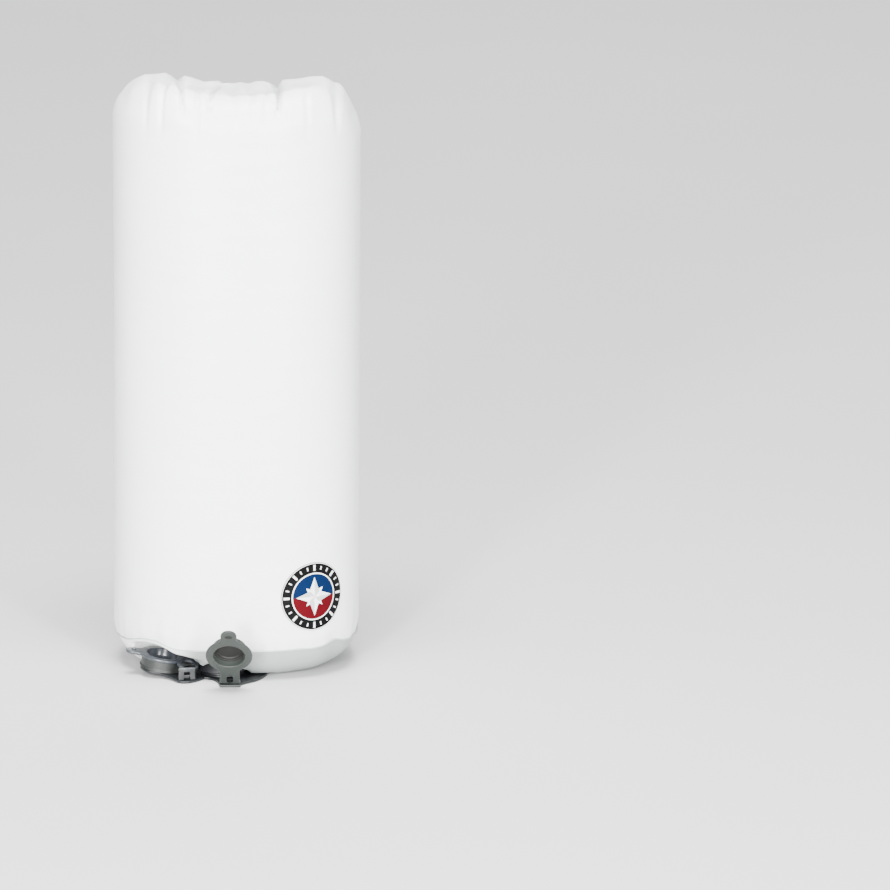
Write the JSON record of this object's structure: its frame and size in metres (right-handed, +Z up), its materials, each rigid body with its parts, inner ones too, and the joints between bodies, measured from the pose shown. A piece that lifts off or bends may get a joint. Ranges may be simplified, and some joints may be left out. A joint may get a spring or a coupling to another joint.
{
  "type": "inflatable pump sack",
  "caption": "Inflated pump sack with a rolled, buckled mouth, plugged into a twin-port air valve with one cap hanging open and one closed.",
  "frame": {"origin": "on the resting plane, under the sack's axis", "axes": "+Z up along the sack, -Y to the front, where the open cap hangs"},
  "size_m": [0.21, 0.2603, 0.5109],
  "materials": {
    "white_fabric": "coated nylon, slightly glossy",
    "seam_tape": "heat-bonded tape",
    "cap_grey": "soft moulded, satin",
    "port_grey": "moulded, satin",
    "slate_plate": "soft moulded, satin",
    "nozzle_grey": "moulded, satin",
    "seal_black": "smooth",
    "flap": "thin and translucent in the real one",
    "badge": "printed patch",
    "buckle_black": "moulded",
    "webbing": "woven",
    "stiffener": "flexible strip"
  },
  "bodies": {
    "valve": {"valve_plate": "slate_plate", "inflate_port": "port_grey", "deflate_port": "port_grey", "flap_seat": "port_grey", "inflate_strap_anchor": "cap_grey", "deflate_strap_anchor": "cap_grey"},
    "flap": {"one_way_flap": "flap"},
    "inflate_cap": {"inflate_cap": "cap_grey", "inflate_cap_seal": "seal_black"},
    "deflate_cap": {"deflate_cap": "cap_grey", "deflate_cap_seal": "seal_black"},
    "sack": {"base_panel": "white_fabric", "base_seam_tape": "seam_tape", "sack_wall": "white_fabric", "side_seam_tape": "seam_tape", "badge_patch": "badge", "outlet_nozzle": "nozzle_grey", "nozzle_backing_ring": "nozzle_grey", "nozzle_seal": "seal_black"},
    "roll": {"rolled_mouth": "white_fabric", "mouth_stiffener": "stiffener", "left_strap": "webbing", "buckle_socket": "buckle_black"},
    "buckle_plug": {"buckle_plug": "buckle_black", "right_strap": "webbing"}
  },
  "joints": [
    {"name": "inflate_cap_hinge", "type": "hinge", "parent": "valve", "child": "inflate_cap", "pos_m": [-0.0059, -0.1016, 0.0035], "axis": [0.9994, -0.0349, 0], "range_deg": [-26, 48]},
    {"name": "deflate_cap_hinge", "type": "hinge", "parent": "valve", "child": "deflate_cap", "pos_m": [-0.0425, -0.0866, 0.0046], "axis": [0.9703, 0.2419, 0], "range_deg": [0, 1.2]},
    {"name": "flap_hinge", "type": "hinge", "parent": "valve", "child": "flap", "pos_m": [-0.012, -0.0485, 0.001], "axis": [1, 0, 0], "range_deg": [0, 50], "stiffness_Nm_per_rad": 0.002, "springref_deg": -17.19},
    {"name": "sack_dock", "type": "slide", "parent": "valve", "child": "sack", "axis": [0, 0, 1], "range_m": [0, 0.04]},
    {"name": "sack_squeeze", "type": "slide", "parent": "sack", "child": "roll", "axis": [0, 0, -1], "range_m": [0, 0.3], "deforming": ["sack_wall", "side_seam_tape"]},
    {"name": "buckle_release", "type": "slide", "parent": "roll", "child": "buckle_plug", "axis": [1, 0, 0], "range_m": [0, 0.018]}
  ]
}
